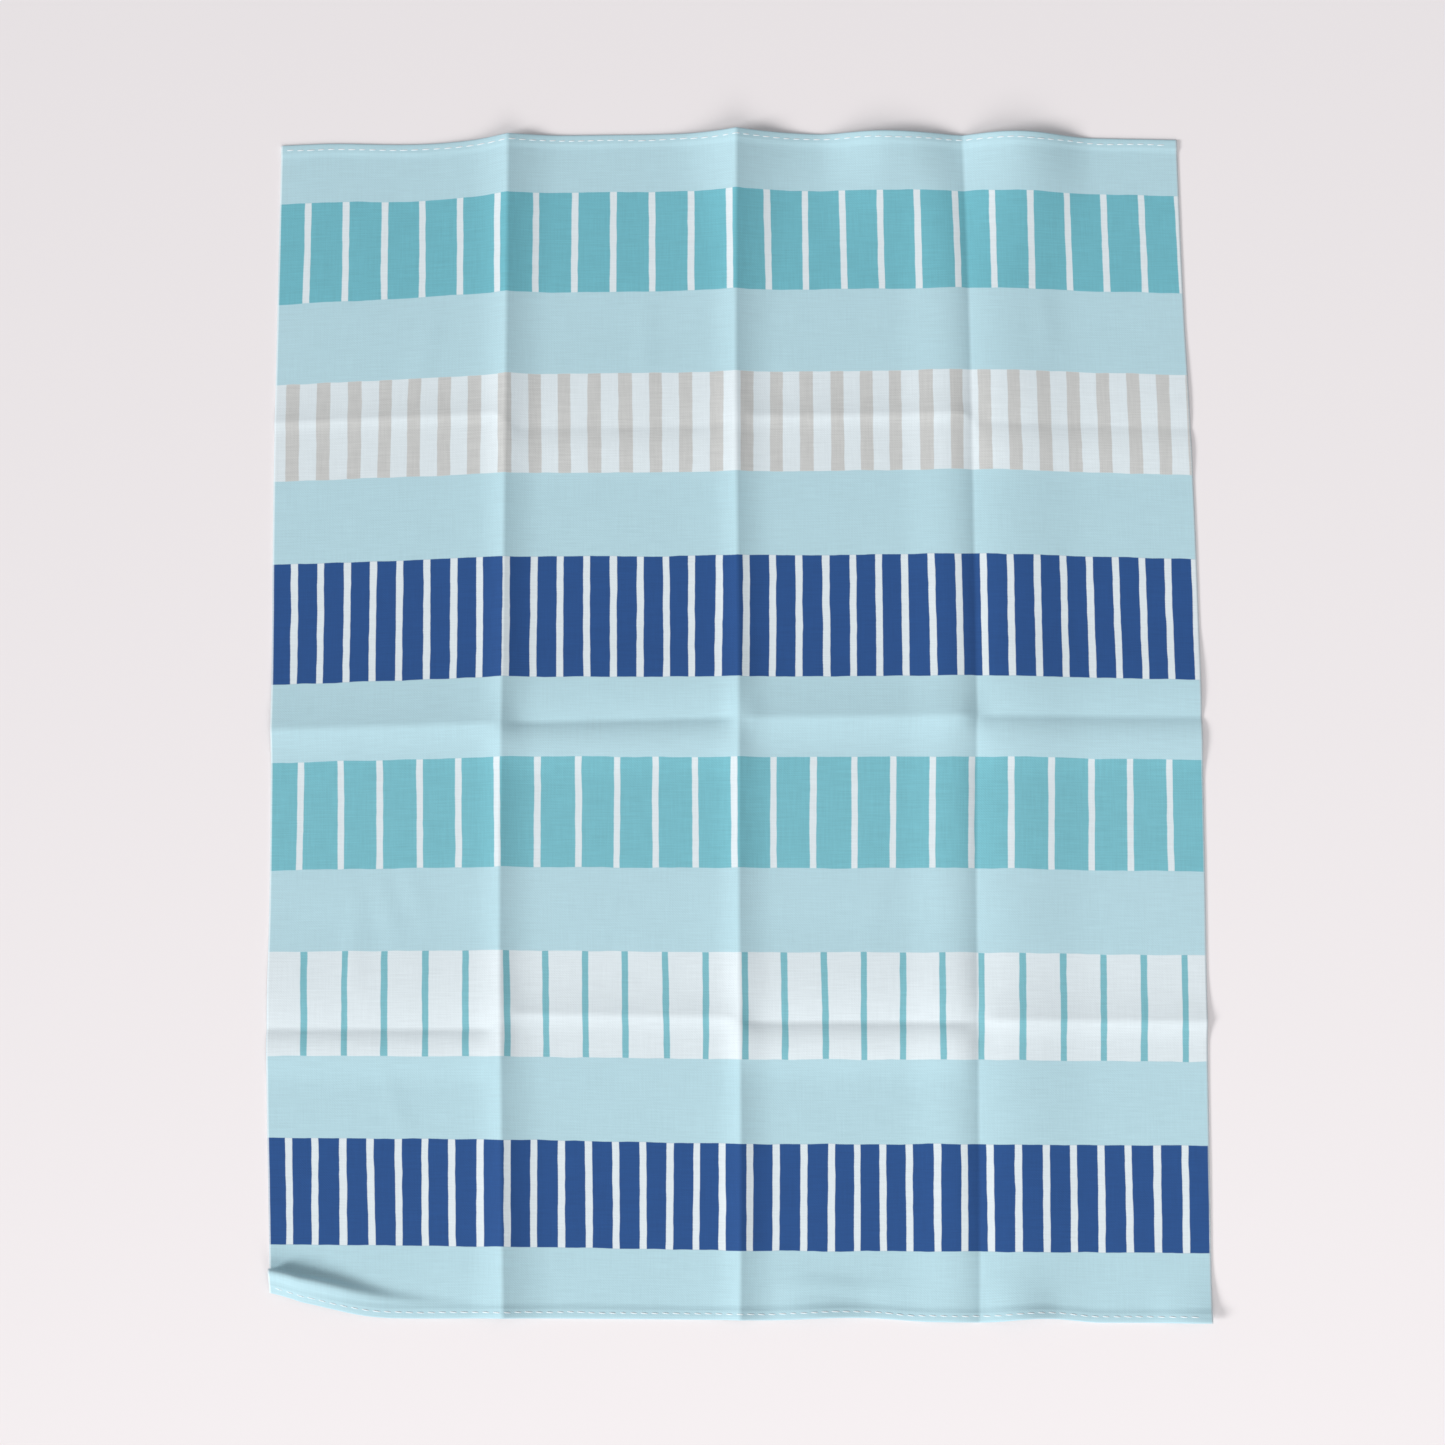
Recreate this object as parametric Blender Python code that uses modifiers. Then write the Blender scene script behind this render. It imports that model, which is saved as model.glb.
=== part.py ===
# A half-length cotton hand towel, laid out flat and showing where it was folded.
# One solid. It lies on Z 0, X runs across the weave's width and Y towards the far hem.
import bmesh
import bpy
import numpy as np

for old in list(bpy.data.objects):
    bpy.data.objects.remove(old, do_unlink=True)

# Sizes of the cloth in millimetres
clothWidth = 350.0
clothLength = 455.0
clothThickness = 1.0
creases = (-89.2, 0.6, 90.0)  # folds that run from hem to hem

# Where the selvedges and the three creases lie: along, left, first, middle, third, right
acrossAt = [
    (0.0, -172.0, -86.4, 1.0, 88.8, 174.9),
    (26.0, -172.8, -86.8, 1.2, 89.2, 175.2),
    (96.0, -175.2, -87.8, 1.2, 89.7, 175.6),
    (168.0, -175.4, -89.1, 0.8, 90.0, 176.1),
    (240.0, -176.2, -89.7, 0.8, 90.8, 176.1),
    (320.0, -177.1, -90.4, 0.6, 90.2, 174.9),
    (393.0, -177.0, -91.0, 0.4, 89.4, 172.6),
    (455.0, -176.8, -91.2, -0.2, 88.0, 171.4),
]
# How far the same lines stray towards the far hem from where a square cloth would have them
strayAt = [
    (0.0, 1.1, 1.8, 1.1, 0.2, 0.0),
    (26.0, 2.2, 1.6, 0.0, -0.3, -0.9),
    (96.0, 1.1, 0.9, -0.2, -0.4, -1.1),
    (168.0, -1.1, 0.2, -0.2, -0.3, -1.6),
    (240.0, -3.4, -0.3, -0.2, 0.2, -1.4),
    (320.0, -4.2, -0.9, -0.2, 0.7, -1.6),
    (393.0, -7.2, -2.4, -1.2, -0.5, -2.5),
    (455.0, -6.0, -2.2, -1.1, -2.0, -3.7),
]

# Heights of the creases from hem to hem: along, first ridge, middle ridge, third valley
creaseHeights = [
    (0.0, 4.2, 3.1, 1.3),
    (40.0, 3.7, 2.9, 1.5),
    (110.0, 3.1, 2.8, 1.6),
    (225.0, 3.0, 2.9, 1.7),
    (340.0, 3.2, 3.0, 1.6),
    (420.0, 4.0, 4.8, 1.6),
    (455.0, 5.0, 7.6, 1.5),
]
# Their shape, where two values stand together: first for the left or near side, then for the other one
pressedAlong = {
    "height": 3.0,  # of a ridge with the next widths; a lower one is narrower
    "steep": (9.5, 14.0),  # reach of the steep part beside the crease
    "share": (0.55, 0.9),  # of the height that is in the steep part
    "wide": 30.0,
    "widest": 42.0,
    "valley": (28.0, 44.0),  # reach of the swells beside a valley
    "rise": (1.0, 1.0),
}
# How far each of them runs off its thread: along, first, middle, third
creaseDrift = [
    (0.0, 0.4, 0.2, 0.6),
    (150.0, 0.0, 0.0, 0.2),
    (240.0, 0.9, 0.0, 0.2),
    (393.0, 2.4, -0.6, 0.3),
    (455.0, 2.6, 0.2, 0.0),
]

# Creases that run across, one way up in a panel and the other way up in the next: along, then panels 1 to 4
crossCreases = [
    (110.0, -1.4, 1.3, -1.6, 1.6),
    (224.5, 3.0, -1.6, 2.7, -1.3),
    (340.0, 1.0, -0.6, 1.1, -0.6),
]
pressedAcross = {
    "height": 2.4,
    "steep": (13.0, 16.0),
    "share": (0.85, 0.1),
    "wide": 38.0,
    "widest": 45.0,
    "valley": (23.0, 40.0),
    "rise": (1.0, 0.7),
}
panelEase = 7.0
# How far each of them runs off its line: pairs of across and distance along
crossDrift = [
    [(-175, -3.6), (-93, -3.6), (-85, 2.3), (-4, 2.0), (4, 0.1), (86, 0.1), (94, 1.2), (175, 1.2)],
    [(-175, -1.8), (-92, -2.0), (-86, -1.6), (-4, 0.2), (90, 0.7), (175, 1.8)],
    [(-175, 4.0), (-93, 4.0), (-85, -2.0), (-4, -2.0), (4, 2.0), (86, 2.0), (94, -1.5), (175, -1.5)],
]
driftReach = 45.0

# Soft lifts along the hems: centre across, half width, height, how far in from the hem, side
hemLifts = [
    (60.0, 27.0, 5.6, 60.0, "far"),
    (114.0, 28.0, 6.0, 66.0, "far"),
    (31.0, 21.0, 2.6, 26.0, "near"),
    (106.0, 15.0, 2.6, 24.0, "near"),
    (172.0, 20.0, 3.0, 26.0, "near"),
]

# Where a hem bows in or out between the creases: centre across, half width, how far, side
hemBows = [
    (-118.0, 42.0, -1.9, "far"),
    (42.0, 32.0, 1.3, "near"),
    (113.0, 22.0, 1.5, "near"),
    (-178.0, 46.0, 1.7, "near"),
    (-178.0, 16.0, 2.4, "near"),
]
bowDepth = {"near": 26.0, "far": 60.0}
# The near left corner's roll: distance along from where it starts, slope in degrees
rollSlopes = [
    (0.0, 0.0),
    (2.0, 50.0),
    (3.4, 96.0),
    (5.6, 100.0),
    (7.6, 15.0),
    (9.0, -28.0),
    (11.5, -34.0),
    (15.0, -30.0),
    (17.0, -14.0),
]
rollLength = 17.0
# across, share of the roll's slopes, share of its length
rollShare = [
    (-175.0, 1.0, 1.0),
    (-166.0, 0.97, 0.98),
    (-158.0, 0.84, 0.95),
    (-150.0, 0.68, 0.90),
    (-140.0, 0.45, 0.80),
    (-130.0, 0.26, 0.66),
    (-116.0, 0.10, 0.52),
    (-104.0, 0.03, 0.45),
    (-95.0, 0.0, 0.40),
]

# Lines of the grid that the sheet is made from, closest together at the creases
acrossLines = [-175.0, -169.0, -162.0, -155.0, -147.0, -138.0, -128.0]
for crease in creases:
    acrossLines += [crease + step for step in (-24.0, -14.0, -8.0, -3.5, 0.0, 3.5, 8.0, 14.0, 24.0)]
acrossLines += [-54.0, -43.0, -33.0, 33.0, 43.0, 54.0, 124.0, 137.0, 150.0, 163.0, 175.0]
acrossLines.sort()
alongLines = [0.0, 1.6, 3.2, 4.8, 6.2, 7.6, 8.8, 10.0, 11.2, 12.4, 13.6, 14.8, 16.0, 17.4]
alongLines += [22.0, 30.0, 42.0, 58.0, 75.0]
for crease in (110.0, 224.5, 340.0):
    alongLines += [crease + step for step in (-20.0, -11.0, -5.0, 0.0, 5.0, 11.0, 20.0)]
alongLines += [148.0, 167.0, 187.0, 262.0, 281.0, 301.0, 377.0, 393.0, 407.0, 419.0, 430.0, 439.0, 447.0, 455.0]
alongLines.sort()


def flowing(table, column, at):  # one column of a table, as a smooth line through its rows
    stations = np.array([row[0] for row in table])
    values = np.array([row[column] for row in table])
    slopes = np.gradient(values, stations)
    first = np.clip(np.searchsorted(stations, at) - 1, 0, len(stations) - 2)
    gap = stations[first + 1] - stations[first]
    t = (at - stations[first]) / gap
    t = np.clip(t, -0.05, 1.05)
    return (
        values[first] * (2 * t**3 - 3 * t**2 + 1)
        + slopes[first] * gap * (t**3 - 2 * t**2 + t)
        + values[first + 1] * (3 * t**2 - 2 * t**3)
        + slopes[first + 1] * gap * (t**3 - t**2)
    )


def ridge(distance, height, shape):  # a sharp top, steep beside it and soft further off
    side = (distance > 0).astype(int)
    widen = height / shape["height"]
    steep = np.clip(1.0 - np.abs(distance) / (np.array(shape["steep"])[side] * widen), 0.0, 1.0)
    wide = np.clip(1.0 - np.abs(distance) / np.minimum(shape["wide"] * widen, shape["widest"]), 0.0, 1.0)
    share = np.array(shape["share"])[side]
    return height * (share * steep**2 + (1.0 - share) * wide**2.5)


def valley(distance, height, shape):  # 0 at the crease, with a swell on either side
    side = (distance > 0).astype(int)
    t = np.clip(np.abs(distance) / np.array(shape["valley"])[side], 0.0, 1.0)
    return height * np.array(shape["rise"])[side] * 6.75 * t * (1.0 - t) ** 2


def swell(distance, reach):
    t = np.clip(np.abs(distance) / reach, 0.0, 1.0)
    return (1.0 - t * t) ** 2


def panelShares(across):  # how much each of the four panels counts at a place
    steps = []
    for crease in creases:
        s = np.clip((across - crease) / panelEase * 0.5 + 0.5, 0.0, 1.0)
        steps.append(s * s * (3 - 2 * s))
    return [1 - steps[0], steps[0] - steps[1], steps[1] - steps[2], steps[2]]


def trueAlong(across, along):  # the grid's rows follow the cross creases, which don't run quite straight
    moved = along.copy()
    for (line, *heights), drift in zip(crossCreases, crossDrift):
        places, distances = zip(*drift)
        moved += np.interp(across, places, distances) * swell(along - line, driftReach)
    return moved


def trueAcross(across, along):
    moved = across.copy()
    for column, crease in enumerate(creases, start=1):
        moved += flowing(creaseDrift, column, along) * swell(across - crease, driftReach)
    return moved


def lieOnTable(across, along):
    edges = np.array([-0.5 * clothWidth, *creases, 0.5 * clothWidth])
    panel = np.clip(np.searchsorted(edges, across, side="right") - 1, 0, 3)
    share = (across - edges[panel]) / (edges[panel + 1] - edges[panel])
    every = np.arange(len(across))
    lines = np.array([flowing(acrossAt, column, along) for column in range(1, 6)])
    strays = np.array([flowing(strayAt, column, along) for column in range(1, 6)])
    x = lines[panel, every] * (1 - share) + lines[panel + 1, every] * share
    stray = strays[panel, every] * (1 - share) + strays[panel + 1, every] * share
    for centre, halfWidth, bow, side in hemBows:
        fromHem = clothLength - along if side == "far" else along
        stray += bow * swell(across - centre, halfWidth) * swell(fromHem, bowDepth[side])
    return x, along - 0.5 * clothLength + stray


def foldHeight(across, along):
    first, middle, third = creases
    z = ridge(across - first, flowing(creaseHeights, 1, along), pressedAlong)
    z += ridge(across - middle, flowing(creaseHeights, 2, along), pressedAlong)
    z += valley(across - third, flowing(creaseHeights, 3, along), pressedAlong)
    shares = panelShares(across)
    for line, *heights in crossCreases:
        for share, height in zip(shares, heights):
            crease = ridge if height > 0 else valley
            z += share * crease(along - line, abs(height), pressedAcross)
    for centre, halfWidth, height, depth, side in hemLifts:
        fromHem = clothLength - along if side == "far" else along
        z += height * swell(across - centre, halfWidth) * np.clip(1.0 - fromHem / depth, 0.0, 1.0) ** 2
    return z


def rollCorner(across, along, y, z):
    places = [row[0] for row in rollShare]
    steep = np.interp(across, places, [row[1] for row in rollShare])
    size = rollLength * np.interp(across, places, [row[2] for row in rollShare])
    chosen = np.nonzero((along < size) & (steep > 0.0))[0]
    inside = (size[chosen] - along[chosen])[:, None]
    steps = np.linspace(0.0, 1.0, 80)[None, :] * inside
    stretch = rollLength / size[chosen][:, None]
    slopes = np.interp(steps * stretch, [row[0] for row in rollSlopes], [row[1] for row in rollSlopes])
    turn = np.radians(slopes * steep[chosen][:, None])
    inside = inside[:, 0]
    run = 0.5 * (np.cos(turn[:, 1:]) + np.cos(turn[:, :-1])).mean(axis=1) * inside
    rise = 0.5 * (np.sin(turn[:, 1:]) + np.sin(turn[:, :-1])).mean(axis=1) * inside
    y[chosen] += inside - run
    z[chosen] = np.maximum(z[chosen] * (1.0 - steep[chosen]) + rise, 0.0)


# The sheet: an even grid, moved line by line onto the cloth's own lines, then onto its folds
mesh = bpy.data.meshes.new("towel")
sheet = bmesh.new()
bmesh.ops.create_grid(
    sheet, x_segments=len(acrossLines) - 1, y_segments=len(alongLines) - 1, size=0.5, calc_uvs=False
)
columnOf = np.array([round((v.co.x + 0.5) * (len(acrossLines) - 1)) for v in sheet.verts])
rowOf = np.array([round((v.co.y + 0.5) * (len(alongLines) - 1)) for v in sheet.verts])
across = np.array(acrossLines)[columnOf]
along = np.array(alongLines)[rowOf]
x, y = lieOnTable(trueAcross(across, along), trueAlong(across, along))
z = foldHeight(across, along)
rollCorner(across, along, y, z)
for vert, px, py, pz in zip(sheet.verts, x, y, z):
    vert.co = (px / 1000.0, py / 1000.0, pz / 1000.0)
bmesh.ops.recalc_face_normals(sheet, faces=sheet.faces)
if sum(face.normal.z for face in sheet.faces) < 0:
    bmesh.ops.reverse_faces(sheet, faces=sheet.faces)
sheet.to_mesh(mesh)
sheet.free()

towel = bpy.data.objects.new("towel", mesh)
collection = bpy.data.collections.new("tenugui_towel")
bpy.context.scene.collection.children.link(collection)
collection.objects.link(towel)

thicken = towel.modifiers.new("thickness", "SOLIDIFY")
thicken.thickness = clothThickness / 1000.0
thicken.offset = 1.0
thicken.use_even_offset = False

# The printed cotton's ground colour
cotton = bpy.data.materials.new("cotton")
cotton.use_nodes = True
shader = cotton.node_tree.nodes["Principled BSDF"]
shader.inputs["Base Color"].default_value = (0.44, 0.64, 0.71, 1.0)
shader.inputs["Roughness"].default_value = 0.85
mesh.materials.append(cotton)

# The finished towel's box is centred over the origin, with its underside on Z 0
shape = towel.evaluated_get(bpy.context.evaluated_depsgraph_get()).to_mesh()
places = np.array([v.co[:] for v in shape.vertices])
low, high = places.min(axis=0), places.max(axis=0)
middle = 0.5 * (low + high)
for vert in mesh.vertices:
    vert.co.x -= middle[0]
    vert.co.y -= middle[1]
    vert.co.z -= low[2]
print("towel box mm", ((high - low) * 1000.0).round(2), "moved by", (middle[:2] * 1000.0).round(3))
print("lowest point was", round(float(low[2]) * 1000.0, 4))
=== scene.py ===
import math

import bmesh
import bpy
import numpy as np
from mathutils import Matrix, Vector, noise


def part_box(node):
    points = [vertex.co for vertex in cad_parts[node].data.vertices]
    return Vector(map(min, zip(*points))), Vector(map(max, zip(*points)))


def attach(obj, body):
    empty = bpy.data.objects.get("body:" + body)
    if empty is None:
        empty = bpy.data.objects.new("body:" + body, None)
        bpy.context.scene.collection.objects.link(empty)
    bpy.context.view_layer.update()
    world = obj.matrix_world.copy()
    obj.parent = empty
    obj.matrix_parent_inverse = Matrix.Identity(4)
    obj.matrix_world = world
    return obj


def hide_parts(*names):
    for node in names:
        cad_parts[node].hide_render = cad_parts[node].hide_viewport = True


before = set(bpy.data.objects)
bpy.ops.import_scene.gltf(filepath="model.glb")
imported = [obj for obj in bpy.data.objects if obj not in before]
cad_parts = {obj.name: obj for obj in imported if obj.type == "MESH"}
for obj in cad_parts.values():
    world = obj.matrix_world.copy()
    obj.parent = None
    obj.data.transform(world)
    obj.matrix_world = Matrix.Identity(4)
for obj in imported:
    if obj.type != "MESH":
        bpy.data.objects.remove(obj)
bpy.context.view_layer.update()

mm = 0.001

# The cloth, in millimetres
# Across runs from the left selvedge (-175) to the right one, along from the near hem (0) to the far one (455)
cloth = {
    "halfWidth": 175.0,
    "length": 455.0,
    "thickness": 0.42,
    "creases": (-89.2, 0.6, 90.0),  # folds that run from hem to hem
    "hemWidth": 3.3,
    "hemRadius": 0.26,  # of the turned edge, to the middle of the cloth's thickness
    "columns": 50,  # cells in each of the four panels
    "rows": (12, 26, 30, 42, 42, 42, 12),  # cells between rowStops
    "rowStops": (0.0, 5.5, 30.0, 110.0, 224.5, 340.0, 449.5, 455.0),
    "crowding": 0.55,  # how much closer the grid's lines are beside a crease
    "shift": (0.0, 0.0),  # onto the middle of the solid, found below
}

# Where the selvedges and the three creases lie: along, left, first, middle, third, right
acrossAt = [
    (0.0, -172.0, -86.4, 1.0, 88.8, 174.9),
    (26.0, -172.8, -86.8, 1.2, 89.2, 175.2),
    (96.0, -175.2, -87.8, 1.2, 89.7, 175.6),
    (168.0, -175.4, -89.1, 0.8, 90.0, 176.1),
    (240.0, -176.2, -89.7, 0.8, 90.8, 176.1),
    (320.0, -177.1, -90.4, 0.6, 90.2, 174.9),
    (393.0, -177.0, -91.0, 0.4, 89.4, 172.6),
    (455.0, -176.8, -91.2, -0.2, 88.0, 171.4),
]
# How far the same lines stray towards the far hem from where a square cloth would have them
strayAt = [
    (0.0, 1.1, 1.8, 1.1, 0.2, 0.0),
    (26.0, 2.2, 1.6, 0.0, -0.3, -0.9),
    (96.0, 1.1, 0.9, -0.2, -0.4, -1.1),
    (168.0, -1.1, 0.2, -0.2, -0.3, -1.6),
    (240.0, -3.4, -0.3, -0.2, 0.2, -1.4),
    (320.0, -4.2, -0.9, -0.2, 0.7, -1.6),
    (393.0, -7.2, -2.4, -1.2, -0.5, -2.5),
    (455.0, -6.0, -2.2, -1.1, -2.0, -3.7),
]

# Heights of the creases from hem to hem: along, first ridge, middle ridge, third valley
creaseHeights = [
    (0.0, 4.2, 3.1, 1.3),
    (40.0, 3.7, 2.9, 1.5),
    (110.0, 3.1, 2.8, 1.6),
    (225.0, 3.0, 2.9, 1.7),
    (340.0, 3.2, 3.0, 1.6),
    (420.0, 4.0, 4.8, 1.6),
    (455.0, 5.0, 7.6, 1.5),
]
# Their shape, where two values stand together: first for the left or near side, then for the other one
pressedAlong = {
    "height": 3.0,  # of a ridge with the next widths; a lower one is narrower
    "steep": (9.5, 14.0),  # reach of the steep part beside the crease
    "share": (0.55, 0.9),  # of the height that is in the steep part
    "wide": 30.0,
    "widest": 42.0,
    "valley": (28.0, 44.0),  # reach of the swells beside a valley
    "rise": (1.0, 1.0),
}
# How far each of them runs off its thread: along, first, middle, third
creaseDrift = [
    (0.0, 0.4, 0.2, 0.6),
    (150.0, 0.0, 0.0, 0.2),
    (240.0, 0.9, 0.0, 0.2),
    (393.0, 2.4, -0.6, 0.3),
    (455.0, 2.6, 0.2, 0.0),
]

# Creases that run across, one way up in a panel and the other way up in the next: along, then panels 1 to 4
crossCreases = [
    (110.0, -1.4, 1.3, -1.6, 1.6),
    (224.5, 3.0, -1.6, 2.7, -1.3),
    (340.0, 1.0, -0.6, 1.1, -0.6),
]
pressedAcross = {
    "height": 2.4,
    "steep": (13.0, 16.0),
    "share": (0.85, 0.1),
    "wide": 38.0,
    "widest": 45.0,
    "valley": (23.0, 40.0),
    "rise": (1.0, 0.7),
}
panelEase = 7.0  # width over which one panel's folds give way to the next one's
# How far each of them runs off its line: pairs of across and distance along
crossDrift = [
    [(-175, -3.6), (-93, -3.6), (-85, 2.3), (-4, 2.0), (4, 0.1), (86, 0.1), (94, 1.2), (175, 1.2)],
    [(-175, -1.8), (-92, -2.0), (-86, -1.6), (-4, 0.2), (90, 0.7), (175, 1.8)],
    [(-175, 4.0), (-93, 4.0), (-85, -2.0), (-4, -2.0), (4, 2.0), (86, 2.0), (94, -1.5), (175, -1.5)],
]
driftReach = 45.0  # how far from a crease its drift is felt

# Soft lifts along the hems: centre across, half width, height, how far in from the hem, side
hemLifts = [
    (60.0, 27.0, 5.6, 60.0, "far"),
    (114.0, 28.0, 6.0, 66.0, "far"),
    (31.0, 21.0, 2.6, 26.0, "near"),
    (106.0, 15.0, 2.6, 24.0, "near"),
    (172.0, 20.0, 3.0, 26.0, "near"),
]

# Where a hem bows in or out between the creases: centre across, half width, how far, side
hemBows = [
    (-118.0, 42.0, -1.9, "far"),
    (42.0, 32.0, 1.3, "near"),
    (113.0, 22.0, 1.5, "near"),
    (-178.0, 46.0, 1.7, "near"),
    (-178.0, 16.0, 2.4, "near"),
]
bowDepth = {"near": 26.0, "far": 60.0}  # how far in from the hem a bow is felt
# How much wider or narrower the hem's fold is: across, width
hemSway = [(-175, 0.3), (-150, -0.2), (-120, 0.2), (-96, -0.3), (-60, 0.3), (-20, -0.2), (24, 0.3)]
hemSway += [(60, -0.1), (98, 0.3), (140, -0.3), (175, 0.2)]

# The near left corner's roll: distance along from where it starts, slope in degrees
rollSlopes = [
    (0.0, 0.0),
    (2.0, 50.0),
    (3.4, 96.0),
    (5.6, 100.0),
    (7.6, 15.0),
    (9.0, -28.0),
    (11.5, -34.0),
    (15.0, -30.0),
    (17.0, -14.0),
]
rollLength = 17.0
# across, share of the roll's slopes, share of its length
rollShare = [
    (-175.0, 1.0, 1.0),
    (-166.0, 0.97, 0.98),
    (-158.0, 0.84, 0.95),
    (-150.0, 0.68, 0.90),
    (-140.0, 0.45, 0.80),
    (-130.0, 0.26, 0.66),
    (-116.0, 0.10, 0.52),
    (-104.0, 0.03, 0.45),
    (-95.0, 0.0, 0.40),
]

# Faint wrinkles that cross the panels: middle across and along, length, half width, height, turn in degrees
wrinkles = [
    (-131.0, 152.0, 46.0, 4.5, 0.35, 112.0),
    (-121.0, 158.0, 34.0, 3.5, 0.28, 122.0),
    (-143.0, 140.0, 60.0, 6.0, 0.35, 96.0),
    (-128.0, 78.0, 40.0, 5.0, 0.30, 118.0),
    (-150.0, 208.0, 30.0, 5.0, 0.30, 62.0),
    (-118.0, 372.0, 46.0, 6.0, 0.30, 84.0),
    (-34.0, 372.0, 52.0, 6.0, 0.28, 97.0),
    (52.0, 152.0, 44.0, 6.0, 0.25, 76.0),
    (120.0, 380.0, 40.0, 6.0, 0.30, 104.0),
    (38.0, 12.0, 70.0, 5.0, 0.30, 3.0),
]

# Two lines of machine stitches
stitches = {
    "pitch": 4.0,
    "length": 3.0,
    "lengthSway": 0.8,
    "radius": 0.25,
    "fromHem": 1.9,
    "fromSelvedge": 1.6,
    "wander": 0.4,  # how far the line strays from straight
    "rise": 0.12,  # of a stitch's middle over its ends
    "sunk": 0.05,  # into the cloth
    "tilt": 0.10,
    "sides": 6,
    "rings": 5,
}

# Faint unevenness of the whole cloth: height, and the size of its waves
waves = [(0.14, 46.0), (0.07, 19.0), (0.025, 8.0)]


def flowing(table, column, at):  # one column of a table, as a smooth line through its rows
    stations = np.array([row[0] for row in table])
    values = np.array([row[column] for row in table])
    slopes = np.gradient(values, stations)
    first = np.clip(np.searchsorted(stations, at) - 1, 0, len(stations) - 2)
    gap = stations[first + 1] - stations[first]
    t = (at - stations[first]) / gap
    t = np.clip(t, -0.05, 1.05)
    return (
        values[first] * (2 * t**3 - 3 * t**2 + 1)
        + slopes[first] * gap * (t**3 - 2 * t**2 + t)
        + values[first + 1] * (3 * t**2 - 2 * t**3)
        + slopes[first + 1] * gap * (t**3 - t**2)
    )


def ridge(distance, height, shape):  # a sharp top, steep beside it and soft further off
    side = (distance > 0).astype(int)
    widen = height / shape["height"]
    steep = np.clip(1.0 - np.abs(distance) / (np.array(shape["steep"])[side] * widen), 0.0, 1.0)
    wide = np.clip(1.0 - np.abs(distance) / np.minimum(shape["wide"] * widen, shape["widest"]), 0.0, 1.0)
    share = np.array(shape["share"])[side]
    return height * (share * steep**2 + (1.0 - share) * wide**2.5)


def valley(distance, height, shape):  # 0 at the crease, with a swell on either side
    side = (distance > 0).astype(int)
    t = np.clip(np.abs(distance) / np.array(shape["valley"])[side], 0.0, 1.0)
    return height * np.array(shape["rise"])[side] * 6.75 * t * (1.0 - t) ** 2


def swell(distance, reach):  # a soft round bump
    t = np.clip(np.abs(distance) / reach, 0.0, 1.0)
    return (1.0 - t * t) ** 2


def panelShares(across):  # how much each of the four panels counts at a place
    steps = []
    for crease in cloth["creases"]:
        s = np.clip((across - crease) / panelEase * 0.5 + 0.5, 0.0, 1.0)
        steps.append(s * s * (3 - 2 * s))
    return [1 - steps[0], steps[0] - steps[1], steps[1] - steps[2], steps[2]]


def trueAlong(across, along):  # the grid's rows follow the cross creases, which don't run quite straight
    moved = along.copy()
    for (line, *heights), drift in zip(crossCreases, crossDrift):
        places, distances = zip(*drift)
        moved += np.interp(across, places, distances) * swell(along - line, driftReach)
    return moved


def trueAcross(across, along):  # and its columns the creases from hem to hem
    moved = across.copy()
    for column, crease in enumerate(cloth["creases"], start=1):
        moved += flowing(creaseDrift, column, along) * swell(across - crease, driftReach)
    return moved


def lieOnTable(across, along):  # from the cloth's own lines to its place on the table, from above
    edges = np.array([-cloth["halfWidth"], *cloth["creases"], cloth["halfWidth"]])
    panel = np.clip(np.searchsorted(edges, across, side="right") - 1, 0, 3)
    share = (across - edges[panel]) / (edges[panel + 1] - edges[panel])
    every = np.arange(len(across))
    lines = np.array([flowing(acrossAt, column, along) for column in range(1, 6)])
    strays = np.array([flowing(strayAt, column, along) for column in range(1, 6)])
    x = lines[panel, every] * (1 - share) + lines[panel + 1, every] * share
    stray = strays[panel, every] * (1 - share) + strays[panel + 1, every] * share
    for centre, halfWidth, bow, side in hemBows:
        fromHem = cloth["length"] - along if side == "far" else along
        stray += bow * swell(across - centre, halfWidth) * swell(fromHem, bowDepth[side])
    return x, along - 0.5 * cloth["length"] + stray


def foldHeight(across, along):
    first, middle, third = cloth["creases"]
    z = ridge(across - first, flowing(creaseHeights, 1, along), pressedAlong)
    z += ridge(across - middle, flowing(creaseHeights, 2, along), pressedAlong)
    z += valley(across - third, flowing(creaseHeights, 3, along), pressedAlong)
    shares = panelShares(across)
    for line, *heights in crossCreases:
        for share, height in zip(shares, heights):
            crease = ridge if height > 0 else valley
            z += share * crease(along - line, abs(height), pressedAcross)
    for centre, halfWidth, height, depth, side in hemLifts:
        fromHem = cloth["length"] - along if side == "far" else along
        z += height * swell(across - centre, halfWidth) * np.clip(1.0 - fromHem / depth, 0.0, 1.0) ** 2
    return z


def unevenness(across, along):
    z = np.zeros_like(across)
    for middle, place, length, halfWidth, height, degrees in wrinkles:
        turn = math.radians(degrees)
        run = (across - middle) * math.cos(turn) + (along - place) * math.sin(turn)
        off = (along - place) * math.cos(turn) - (across - middle) * math.sin(turn)
        off += 1.5 * np.sin(run / 9.0)
        z += height * swell(run, 0.5 * length) * swell(off, halfWidth)
    for height, size in waves:
        for index, (a, b) in enumerate(zip(across / size, along / size)):
            z[index] += height * (0.5 + 0.5 * noise.noise(Vector((a, b, size))))
    return z


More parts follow.
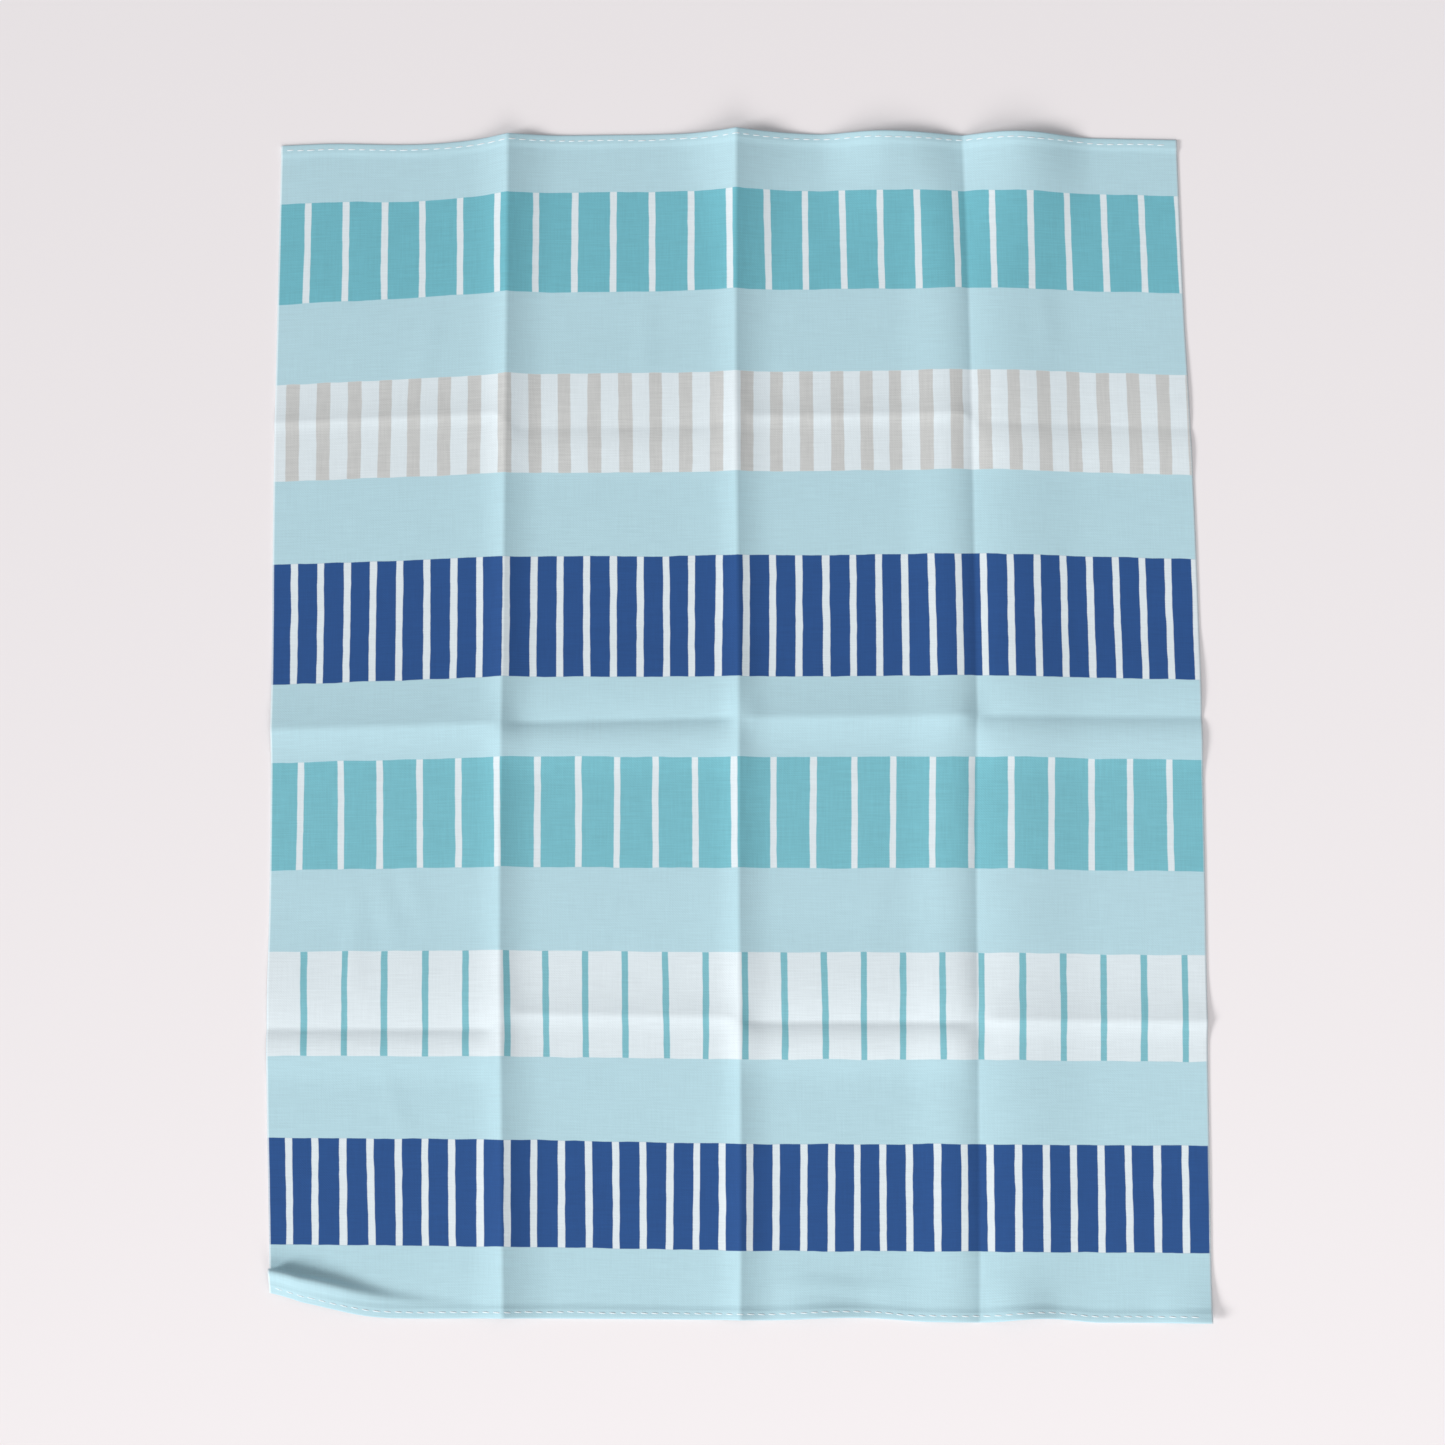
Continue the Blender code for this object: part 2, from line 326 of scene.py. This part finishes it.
def hemProfile(across, fromHem):  # the hem's double layer, drawn in at its stitches and round at its edge
    sway = np.interp(across, *zip(*hemSway))
    rise = np.clip((cloth["hemWidth"] + 2.2 + sway - fromHem) / 3.8, 0.0, 1.0)
    return (
        2 * cloth["hemRadius"] * rise * rise * (3 - 2 * rise)
        + 0.10 * swell(fromHem - 2.9, 0.9)
        - 0.12 * swell(fromHem - stitches["fromHem"], 0.6)
        - 0.10 * np.clip(1.0 - fromHem / 1.5, 0.0, 1.0) ** 2
    )


def rollCorner(across, along, y, z):
    places = [row[0] for row in rollShare]
    steep = np.interp(across, places, [row[1] for row in rollShare])
    size = rollLength * np.interp(across, places, [row[2] for row in rollShare])
    chosen = np.nonzero((along < size) & (steep > 0.0))[0]
    inside = (size[chosen] - along[chosen])[:, None]
    steps = np.linspace(0.0, 1.0, 80)[None, :] * inside
    stretch = rollLength / size[chosen][:, None]
    slopes = np.interp(steps * stretch, [row[0] for row in rollSlopes], [row[1] for row in rollSlopes])
    turn = np.radians(slopes * steep[chosen][:, None])
    inside = inside[:, 0]
    run = 0.5 * (np.cos(turn[:, 1:]) + np.cos(turn[:, :-1])).mean(axis=1) * inside
    rise = 0.5 * (np.sin(turn[:, 1:]) + np.sin(turn[:, :-1])).mean(axis=1) * inside
    y[chosen] += inside - run
    z[chosen] = np.maximum(z[chosen] * (1.0 - steep[chosen]) + rise, 0.0)


def surfaceAt(across, along):  # the middle of the cloth's thickness
    place = trueAlong(across, along)
    thread = trueAcross(across, along)
    x, y = lieOnTable(thread, place)
    z = foldHeight(across, along)
    rollCorner(across, along, y, z)
    fromHem = np.minimum(along, cloth["length"] - along)
    z += hemProfile(across, fromHem) + unevenness(across, place) + 0.5 * cloth["thickness"]
    return np.stack([x + cloth["shift"][0], y + cloth["shift"][1], z], axis=1)


def shiftOnto(box):  # how far the cloth moves to lie in the middle of its solid's box
    half, length = cloth["halfWidth"], cloth["length"]
    across, along = np.meshgrid(np.linspace(-half, half, 81), np.linspace(0.0, length, 81))
    spots = surfaceAt(across.ravel(), along.ravel())
    low, high = (np.array(corner) / mm for corner in box)
    middle = 0.5 * (spots.min(axis=0) + spots.max(axis=0))
    return [float(v) for v in (0.5 * (low + high) - middle)[:2]]


def normalAt(across, along):
    step = 0.4
    half = cloth["halfWidth"]
    right = surfaceAt(np.minimum(across + step, half), along)
    right -= surfaceAt(np.maximum(across - step, -half), along)
    length = cloth["length"]
    up = surfaceAt(across, np.minimum(along + step, length))
    up -= surfaceAt(across, np.maximum(along - step, 0.0))
    normal = np.cross(right, up)
    up /= np.linalg.norm(up, axis=1)[:, None]
    return normal / np.linalg.norm(normal, axis=1)[:, None], up


def crowdedLines(stops, counts, crowding):  # closest together at each stop
    lines = [stops[0]]
    for low, high, count in zip(stops[:-1], stops[1:], counts):
        for index in range(1, count + 1):
            t = index / count
            lines.append(low + (high - low) * (t - crowding * math.sin(2 * math.pi * t) / (2 * math.pi)))
    return lines


def clothRows():  # along, turn round the hem's edge, which hem
    rows = []
    under = np.linspace(cloth["hemWidth"], 0.0, 5)
    turns = (135.0, 90.0, 45.0)
    rows += [(d, 180.0, -1) for d in under] + [(0.0, turn, -1) for turn in turns]
    rows += [(d, 0.0, 0) for d in crowdedLines(cloth["rowStops"], cloth["rows"], cloth["crowding"])]
    far = cloth["length"]
    rows += [(far, turn, 1) for turn in reversed(turns)] + [(far - d, 180.0, 1) for d in reversed(under)]
    return rows


def makeCloth():
    edges = (-cloth["halfWidth"], *cloth["creases"], cloth["halfWidth"])
    columns = np.array(crowdedLines(edges, [cloth["columns"]] * 4, cloth["crowding"]))
    rows = np.array(clothRows())
    sheet = bmesh.new()
    uvLayer = sheet.loops.layers.uv.new("flat")
    bmesh.ops.create_grid(
        sheet, x_segments=len(columns) - 1, y_segments=len(rows) - 1, size=0.5, calc_uvs=False
    )
    column = np.array([round((v.co.x + 0.5) * (len(columns) - 1)) for v in sheet.verts])
    row = np.array([round((v.co.y + 0.5) * (len(rows) - 1)) for v in sheet.verts])
    across = columns[column]
    along, degrees, side = rows[row].T
    place = surfaceAt(across, along)
    printed = trueAlong(across, along)
    threads = trueAcross(across, along)
    turned = np.nonzero(side)[0]
    normal, up = normalAt(across[turned], along[turned])
    radius = cloth["hemRadius"]
    turn = np.radians(degrees[turned])[:, None]
    place[turned] += up * side[turned][:, None] * radius * np.sin(turn) - normal * radius * (1 - np.cos(turn))
    fromHem = np.where(side[turned] < 0, along[turned], cloth["length"] - along[turned])
    beyond = radius * turn[:, 0] + np.abs(fromHem)
    printed[turned] = np.where(side[turned] < 0, -beyond, cloth["length"] + beyond)
    for vert, spot in zip(sheet.verts, place * mm):
        vert.co = spot
    sheet.verts.index_update()
    for face in sheet.faces:
        face.smooth = True
        for loop in face.loops:
            index = loop.vert.index
            loop[uvLayer].uv = (threads[index] * mm, printed[index] * mm)
    bmesh.ops.recalc_face_normals(sheet, faces=sheet.faces)
    if sum(face.normal.z for face in sheet.faces) < 0:
        bmesh.ops.reverse_faces(sheet, faces=sheet.faces)
    mesh = bpy.data.meshes.new("towelCloth")
    sheet.to_mesh(mesh)
    sheet.free()
    piece = bpy.data.objects.new("towelCloth", mesh)
    bpy.context.scene.collection.objects.link(piece)
    solid = piece.modifiers.new("thickness", "SOLIDIFY")
    solid.thickness = cloth["thickness"] * mm
    solid.offset = 0.0
    return piece


def makeStitches():
    threads = bmesh.new()
    half = cloth["halfWidth"] - stitches["fromSelvedge"]
    count = int(2 * half / stitches["pitch"])
    middles = -half + stitches["pitch"] * (np.arange(count) + 0.5)
    for side in (-1, 1):  # near hem, far hem
        for middle in middles:
            makeStitch(threads, middle, side)
    mesh = bpy.data.meshes.new("hemStitches")
    threads.to_mesh(mesh)
    threads.free()
    piece = bpy.data.objects.new("hemStitches", mesh)
    bpy.context.scene.collection.objects.link(piece)
    return piece


def makeStitch(threads, middle, side):  # one stitch, stretched from a ball onto the cloth
    made = bmesh.ops.create_uvsphere(
        threads, u_segments=stitches["sides"], v_segments=stitches["rings"], radius=1.0
    )
    verts = made["verts"]
    sway = stitches["wander"] * noise.noise(Vector((middle / 14.0, side * 5.0, 2.0)))
    fromHem = stitches["fromHem"] + sway
    local = np.array([v.co[:] for v in verts])
    longer = stitches["lengthSway"] * noise.noise(Vector((middle * 0.7, side * 3.0, 9.0)))
    reach = 0.5 * (stitches["length"] + longer)
    across = np.clip(middle + local[:, 2] * reach, -cloth["halfWidth"], cloth["halfWidth"])
    fromLine = local[:, 0] * stitches["radius"]
    tilt = stitches["tilt"] * local[:, 2] * side
    line = cloth["length"] - fromHem if side > 0 else fromHem
    spots = surfaceAt(across, np.full_like(across, line))
    edge = surfaceAt(across, line + fromLine + tilt)
    arch = 1.0 - local[:, 2] ** 2
    spots[:, 0] = edge[:, 0]
    spots[:, 1] = edge[:, 1]
    spots[:, 2] += 0.5 * cloth["thickness"] + local[:, 1] * stitches["radius"]
    spots[:, 2] += stitches["rise"] * arch - stitches["sunk"]
    for vert, spot in zip(verts, spots * mm):
        vert.co = spot
    for face in {face for vert in verts for face in vert.link_faces}:
        face.smooth = True


# Colours, as the eye sees them, from 0 to 255
inks = {
    "ground": (181, 213, 222),
    "teal": (112, 182, 195),
    "lightTeal": (120, 186, 198),
    "blue": (40, 80, 138),
    "pale": (221, 230, 234),
    "grey": (200, 200, 198),
    "tealLine": (126, 186, 197),
}
# The printed bands: from and to along, fill, lines, distance between lines, first line's place, line width
bands = [
    (392.8, 432.4, "teal", "pale", 14.71, -163.9, 2.5),
    (320.1, 359.8, "pale", "grey", 11.47, -168.0, 5.0),
    (240.5, 287.3, "blue", "pale", 10.03, -166.9, 2.6),
    (167.8, 209.9, "lightTeal", "pale", 14.82, -163.7, 2.4),
    (96.3, 136.2, "pale", "tealLine", 14.92, -161.6, 2.4),
    (25.8, 65.3, "blue", "pale", 10.10, -167.6, 2.6),
]
printing = {
    "edge": 0.16,  # softness of an inked edge
    "shift": 0.65,  # how far lines stray from even spacing
    "wobble": 0.30,
    "widthWobble": 0.36,
    "bandWobble": 0.55,
    "brightness": 0.985,  # what a white surface sends back under the scene's light
}


def inkColour(name):
    def linear(c):
        c /= 255.0
        return c / 12.92 if c <= 0.04045 else ((c + 0.055) / 1.055) ** 2.4

    return (*[linear(c) / printing["brightness"] for c in inks[name]], 1.0)


class Nodes:  # short words for building a material
    def __init__(self, name):
        self.material = bpy.data.materials.new(name)
        self.material.use_nodes = True
        self.tree = self.material.node_tree
        self.shader = self.tree.nodes["Principled BSDF"]

    def add(self, kind, **settings):
        node = self.tree.nodes.new(kind)
        for key, value in settings.items():
            setattr(node, key, value)
        return node

    def put(self, socket, value):
        if hasattr(value, "is_linked"):
            self.tree.links.new(value, socket)
        else:
            socket.default_value = value

    def math(self, operation, *values):
        node = self.add("ShaderNodeMath", operation=operation)
        for socket, value in zip(node.inputs, values):
            self.put(socket, value)
        return node.outputs[0]

    def soft(self, value, low, high):  # 0 at low, 1 at high
        node = self.add("ShaderNodeMapRange", interpolation_type="SMOOTHSTEP")
        self.put(node.inputs["Value"], value)
        node.inputs["From Min"].default_value = low
        node.inputs["From Max"].default_value = high
        return node.outputs["Result"]

    def spot(self, x, y, z=0.0):
        node = self.add("ShaderNodeCombineXYZ")
        for socket, value in zip(node.inputs, (x, y, z)):
            self.put(socket, value)
        return node.outputs[0]

    def grain(self, x, y, z=0.0, detail=2.0, roughness=0.5):  # noise from about -1 to 1
        node = self.add("ShaderNodeTexNoise")
        self.put(node.inputs["Vector"], self.spot(x, y, z))
        node.inputs["Scale"].default_value = 1.0
        node.inputs["Detail"].default_value = detail
        node.inputs["Roughness"].default_value = roughness
        return self.math("MULTIPLY_ADD", node.outputs[0], 2.0, -1.0)

    def mix(self, share, first, second):
        node = self.add("ShaderNodeMix", data_type="RGBA")
        self.put(node.inputs[0], share)
        self.put(node.inputs[6], first)
        self.put(node.inputs[7], second)
        return node.outputs[2]


def printedCotton():
    n = Nodes("printedCotton")
    flat = n.add("ShaderNodeUVMap", uv_map="flat")
    split = n.add("ShaderNodeSeparateXYZ")
    n.put(split.inputs[0], flat.outputs[0])
    u = n.math("MULTIPLY", split.outputs[0], 1000.0)
    v = n.math("MULTIPLY", split.outputs[1], 1000.0)

    # Threads: thick places run along single threads, mostly those that lie across
    weft = n.grain(n.math("MULTIPLY", u, 0.085), n.math("MULTIPLY", v, 1.9), 3.0, 3.0, 0.6)
    warp = n.grain(n.math("MULTIPLY", u, 1.9), n.math("MULTIPLY", v, 0.075), 7.0, 3.0, 0.6)
    cloudy = n.grain(n.math("MULTIPLY", u, 0.05), n.math("MULTIPLY", v, 0.05), 11.0, 3.0, 0.6)
    threads = n.math("ADD", n.math("MULTIPLY", weft, 0.6), n.math("MULTIPLY", warp, 0.4))

    # The brush's wobble, which every printed edge shares
    slow = n.grain(n.math("MULTIPLY", u, 0.035), n.math("MULTIPLY", v, 0.007), 1.0, 1.0)
    quick = n.grain(n.math("MULTIPLY", u, 0.16), n.math("MULTIPLY", v, 0.11), 5.0, 2.0)
    width = n.grain(n.math("MULTIPLY", u, 0.21), n.math("MULTIPLY", v, 0.09), 9.0, 2.0)
    edges = n.grain(n.math("MULTIPLY", u, 0.075), n.math("MULTIPLY", v, 0.05), 13.0, 2.0)
    strayed = n.math("MULTIPLY_ADD", slow, printing["shift"] * 2.0, u)
    strayed = n.math("MULTIPLY_ADD", quick, printing["wobble"], strayed)
    strayed = n.math("MULTIPLY_ADD", threads, 0.12, strayed)
    along = n.math("MULTIPLY_ADD", edges, printing["bandWobble"], v)
    along = n.math("MULTIPLY_ADD", threads, 0.10, along)

    colour = inkColour("ground")
    soft = printing["edge"]
    inked = 0.0
    for low, high, fill, line, pitch, first, lineWidth in bands:
        above = n.soft(along, low - soft, low + soft)
        below = n.soft(along, high + soft, high - soft)
        inside = n.math("MULTIPLY", above, below)
        place = n.math("DIVIDE", n.math("SUBTRACT", strayed, first), pitch)
        fromLine = n.math("MULTIPLY", n.math("PINGPONG", place, 0.5), pitch)
        fromLine = n.math("MULTIPLY_ADD", width, 0.5 * printing["widthWobble"], fromLine)
        onLine = n.math("MULTIPLY", n.soft(fromLine, 0.5 * lineWidth + soft, 0.5 * lineWidth - soft), inside)
        colour = n.mix(inside, colour, inkColour(fill))
        colour = n.mix(onLine, colour, inkColour(line))
        if line == "pale":
            inked = n.math("ADD", inked, n.math("SUBTRACT", inside, onLine))
        else:
            inked = n.math("ADD", inked, onLine)

    # The unprinted thread at each selvedge
    fromSelvedge = n.math("SUBTRACT", cloth["halfWidth"], n.math("ABSOLUTE", u))
    fromSelvedge = n.math("MULTIPLY_ADD", warp, 0.15, fromSelvedge)
    bare = n.soft(fromSelvedge, 0.75, 0.35)
    colour = n.mix(n.math("MULTIPLY", bare, 0.75), colour, inkColour("pale"))

    # Ink takes unevenly on thick and thin threads
    strength = n.math("MULTIPLY_ADD", inked, 0.12, 0.16)
    bright = n.math("MULTIPLY_ADD", threads, strength, 1.0)
    bright = n.math("MULTIPLY_ADD", cloudy, 0.02, bright)
    scale = n.add("ShaderNodeVectorMath", operation="SCALE")
    n.put(scale.inputs[0], colour)
    n.put(scale.inputs["Scale"], bright)
    n.put(n.shader.inputs["Base Color"], scale.outputs[0])

    # Plain weave
    across = n.math("SINE", n.math("MULTIPLY", u, 2 * math.pi / 0.92))
    up = n.math("SINE", n.math("MULTIPLY", v, 2 * math.pi / 0.92))
    weave = n.math("MULTIPLY", across, up)
    height = n.math("MULTIPLY_ADD", weave, 0.35, n.math("MULTIPLY", threads, 0.8))
    bump = n.add("ShaderNodeBump")
    bump.inputs["Strength"].default_value = 0.55
    bump.inputs["Distance"].default_value = 0.00008
    n.put(bump.inputs["Height"], height)
    n.put(n.shader.inputs["Normal"], bump.outputs[0])
    n.put(n.shader.inputs["Roughness"], n.math("MULTIPLY_ADD", threads, 0.05, 0.86))
    n.shader.inputs["Specular IOR Level"].default_value = 0.25
    n.shader.inputs["Sheen Weight"].default_value = 0.08
    n.shader.inputs["Sheen Roughness"].default_value = 0.5
    return n.material


def stitchThread():
    n = Nodes("stitchThread")
    place = n.add("ShaderNodeTexCoord")
    split = n.add("ShaderNodeSeparateXYZ")
    n.put(split.inputs[0], place.outputs["Object"])
    x = n.math("MULTIPLY", split.outputs[0], 1000.0)
    y = n.math("MULTIPLY", split.outputs[1], 1000.0)
    twist = n.math("SINE", n.math("MULTIPLY", n.math("ADD", x, n.math("MULTIPLY", y, 1.4)), 9.0))
    n.shader.inputs["Base Color"].default_value = (0.83, 0.87, 0.89, 1.0)
    n.put(n.shader.inputs["Roughness"], n.math("MULTIPLY_ADD", twist, 0.06, 0.62))
    bump = n.add("ShaderNodeBump")
    bump.inputs["Strength"].default_value = 0.4
    bump.inputs["Distance"].default_value = 0.00005
    n.put(bump.inputs["Height"], twist)
    n.put(n.shader.inputs["Normal"], bump.outputs[0])
    return n.material


# The table top under the towel, the lights and the camera, in metres
studio = {
    "floorSize": 6.0,
    "floorColour": (0.90, 0.845, 0.85, 1.0),
    "sky": (0.94, 0.97, 1.0, 1.0),
    "skyStrength": 0.42,
    "sunStrength": 2.2,
    "sunHeight": 28.0,
    "sunSide": 69.0,  # degrees from straight behind the camera's foot, towards the left
    "sunSoftness": 20.0,
    "nearStrength": 15.0,
    "nearColour": (1.0, 0.99, 0.98),
    "nearPlace": (0.1, -1.5, 1.2),
    "cameraDistance": 1.14,
    "cameraTilt": 8.0,  # from straight down, towards the near hem
    "cameraAim": (-0.0048, -0.0040, 0.0),
}


def tableTop():
    n = Nodes("paleTable")
    place = n.add("ShaderNodeTexCoord")
    grain = n.add("ShaderNodeTexNoise")
    n.put(grain.inputs["Vector"], place.outputs["Object"])
    grain.inputs["Scale"].default_value = 3.0
    n.shader.inputs["Base Color"].default_value = studio["floorColour"]
    n.put(n.shader.inputs["Roughness"], n.math("MULTIPLY_ADD", grain.outputs[0], 0.1, 0.7))
    n.shader.inputs["Specular IOR Level"].default_value = 0.2
    board = bmesh.new()
    bmesh.ops.create_grid(board, x_segments=1, y_segments=1, size=0.5 * studio["floorSize"])
    mesh = bpy.data.meshes.new("tableTop")
    board.to_mesh(mesh)
    board.free()
    mesh.materials.append(n.material)
    top = bpy.data.objects.new("tableTop", mesh)
    bpy.context.scene.collection.objects.link(top)


def lightStudio():
    scene = bpy.context.scene
    world = bpy.data.worlds.new("softStudio")
    world.use_nodes = True
    world.node_tree.nodes["Background"].inputs["Color"].default_value = studio["sky"]
    world.node_tree.nodes["Background"].inputs["Strength"].default_value = studio["skyStrength"]
    scene.world = world
    sun = bpy.data.lights.new("window", "SUN")
    sun.energy = studio["sunStrength"]
    sun.angle = math.radians(studio["sunSoftness"])
    sunObject = bpy.data.objects.new("window", sun)
    side = math.radians(studio["sunSide"])
    height = math.radians(studio["sunHeight"])
    fromSun = Vector((-math.sin(side) * math.cos(height), -math.cos(side) * math.cos(height), math.sin(height)))
    sunObject.rotation_euler = fromSun.to_track_quat("Z", "Y").to_euler()
    scene.collection.objects.link(sunObject)
    near = bpy.data.lights.new("nearPanel", "AREA")
    near.energy = studio["nearStrength"]
    near.size = 1.2
    nearObject = bpy.data.objects.new("nearPanel", near)
    near.color = studio["nearColour"]
    nearObject.location = studio["nearPlace"]
    nearObject.rotation_euler = Vector(studio["nearPlace"]).to_track_quat("Z", "Y").to_euler()
    scene.collection.objects.link(nearObject)
    scene.view_settings.view_transform = "Standard"


def placeCamera():
    tilt = math.radians(studio["cameraTilt"])
    back = Vector((0.0, -math.sin(tilt), math.cos(tilt)))
    camera = bpy.data.cameras.new("camera")
    camera.sensor_width = 24.0
    camera.lens = 50.0
    cameraObject = bpy.data.objects.new("camera", camera)
    cameraObject.location = Vector(studio["cameraAim"]) + back * studio["cameraDistance"]
    cameraObject.rotation_euler = back.to_track_quat("Z", "Y").to_euler()
    bpy.context.scene.collection.objects.link(cameraObject)
    bpy.context.scene.camera = cameraObject


print("cloth: folds and hems")
cloth["shift"] = shiftOnto(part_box("towel"))
print("moved by", cloth["shift"])
towelCloth = makeCloth()
towelCloth.data.materials.append(printedCotton())
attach(towelCloth, "root")
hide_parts("towel")

print("stitches")
hemStitches = makeStitches()
hemStitches.data.materials.append(stitchThread())
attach(hemStitches, "root")

print("table, lights and camera")
tableTop()
lightStudio()
placeCamera()
